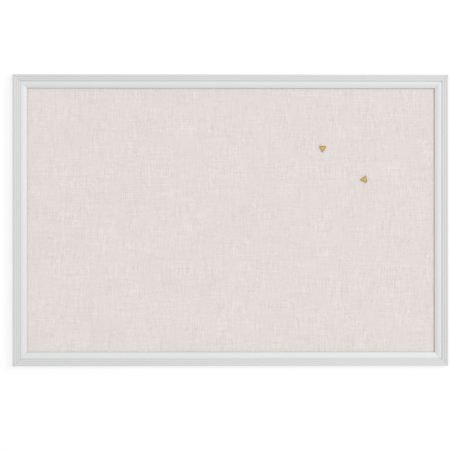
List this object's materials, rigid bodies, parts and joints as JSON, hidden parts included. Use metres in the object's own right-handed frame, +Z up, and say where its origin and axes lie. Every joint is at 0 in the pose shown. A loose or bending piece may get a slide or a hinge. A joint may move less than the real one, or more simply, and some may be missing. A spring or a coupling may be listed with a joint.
{
  "type": "linen bulletin board",
  "caption": "Wall-hung bulletin board with a linen-faced cork panel in a mitred, moulded pale frame, holding push pins with triangular heads.",
  "frame": {"origin": "middle of the board in the plane of the wall, level with the bumpers' rear faces", "axes": "+X along the board's width, to the right as seen from the front; +Y to the rear, into the wall; +Z up"},
  "size_m": [0.762, 0.023, 0.508],
  "materials": {
    "painted_wood": "satin",
    "linen": "matte",
    "cork": "matte",
    "fibreboard": "matte",
    "hardboard": "matte",
    "plated_steel": "satin",
    "spring_steel": "satin",
    "needle_steel": "polished",
    "gold_tone_metal": "satin",
    "bumper_rubber": "matte"
  },
  "bodies": {
    "board": {"rail_top": "painted_wood", "rail_bottom": "painted_wood", "stile_left": "painted_wood", "stile_right": "painted_wood", "linen_cover": "linen", "cork_sheet": "cork", "fibreboard_core": "fibreboard", "back_panel": "hardboard", "hanger_1": "plated_steel", "hanger_2": "plated_steel", "hanger_nail_1": "plated_steel", "hanger_nail_2": "plated_steel", "hanger_nail_3": "plated_steel", "hanger_nail_4": "plated_steel", "bumper_left": "bumper_rubber", "bumper_right": "bumper_rubber", "rail_top_point_1": "spring_steel", "rail_top_point_2": "spring_steel", "rail_top_point_3": "spring_steel", "rail_top_point_4": "spring_steel", "rail_bottom_point_1": "spring_steel", "rail_bottom_point_2": "spring_steel", "rail_bottom_point_3": "spring_steel", "rail_bottom_point_4": "spring_steel", "stile_left_point_1": "spring_steel", "stile_left_point_2": "spring_steel", "stile_left_point_3": "spring_steel", "stile_right_point_1": "spring_steel", "stile_right_point_2": "spring_steel", "stile_right_point_3": "spring_steel", "v_nail_top_left_1": "spring_steel", "v_nail_top_left_2": "spring_steel", "v_nail_top_right_1": "spring_steel", "v_nail_top_right_2": "spring_steel", "v_nail_bottom_left_1": "spring_steel", "v_nail_bottom_left_2": "spring_steel", "v_nail_bottom_right_1": "spring_steel", "v_nail_bottom_right_2": "spring_steel"},
    "pin_1": {"pin_1_head": "gold_tone_metal", "pin_1_needle": "needle_steel"},
    "pin_2": {"pin_2_head": "gold_tone_metal", "pin_2_needle": "needle_steel"}
  },
  "joints": [
    {"name": "pin_1_pull", "type": "slide", "parent": "board", "child": "pin_1", "axis": [0, -1, 0], "range_m": [0, 0.012]},
    {"name": "pin_2_pull", "type": "slide", "parent": "board", "child": "pin_2", "axis": [0, -1, 0], "range_m": [0, 0.012]}
  ]
}
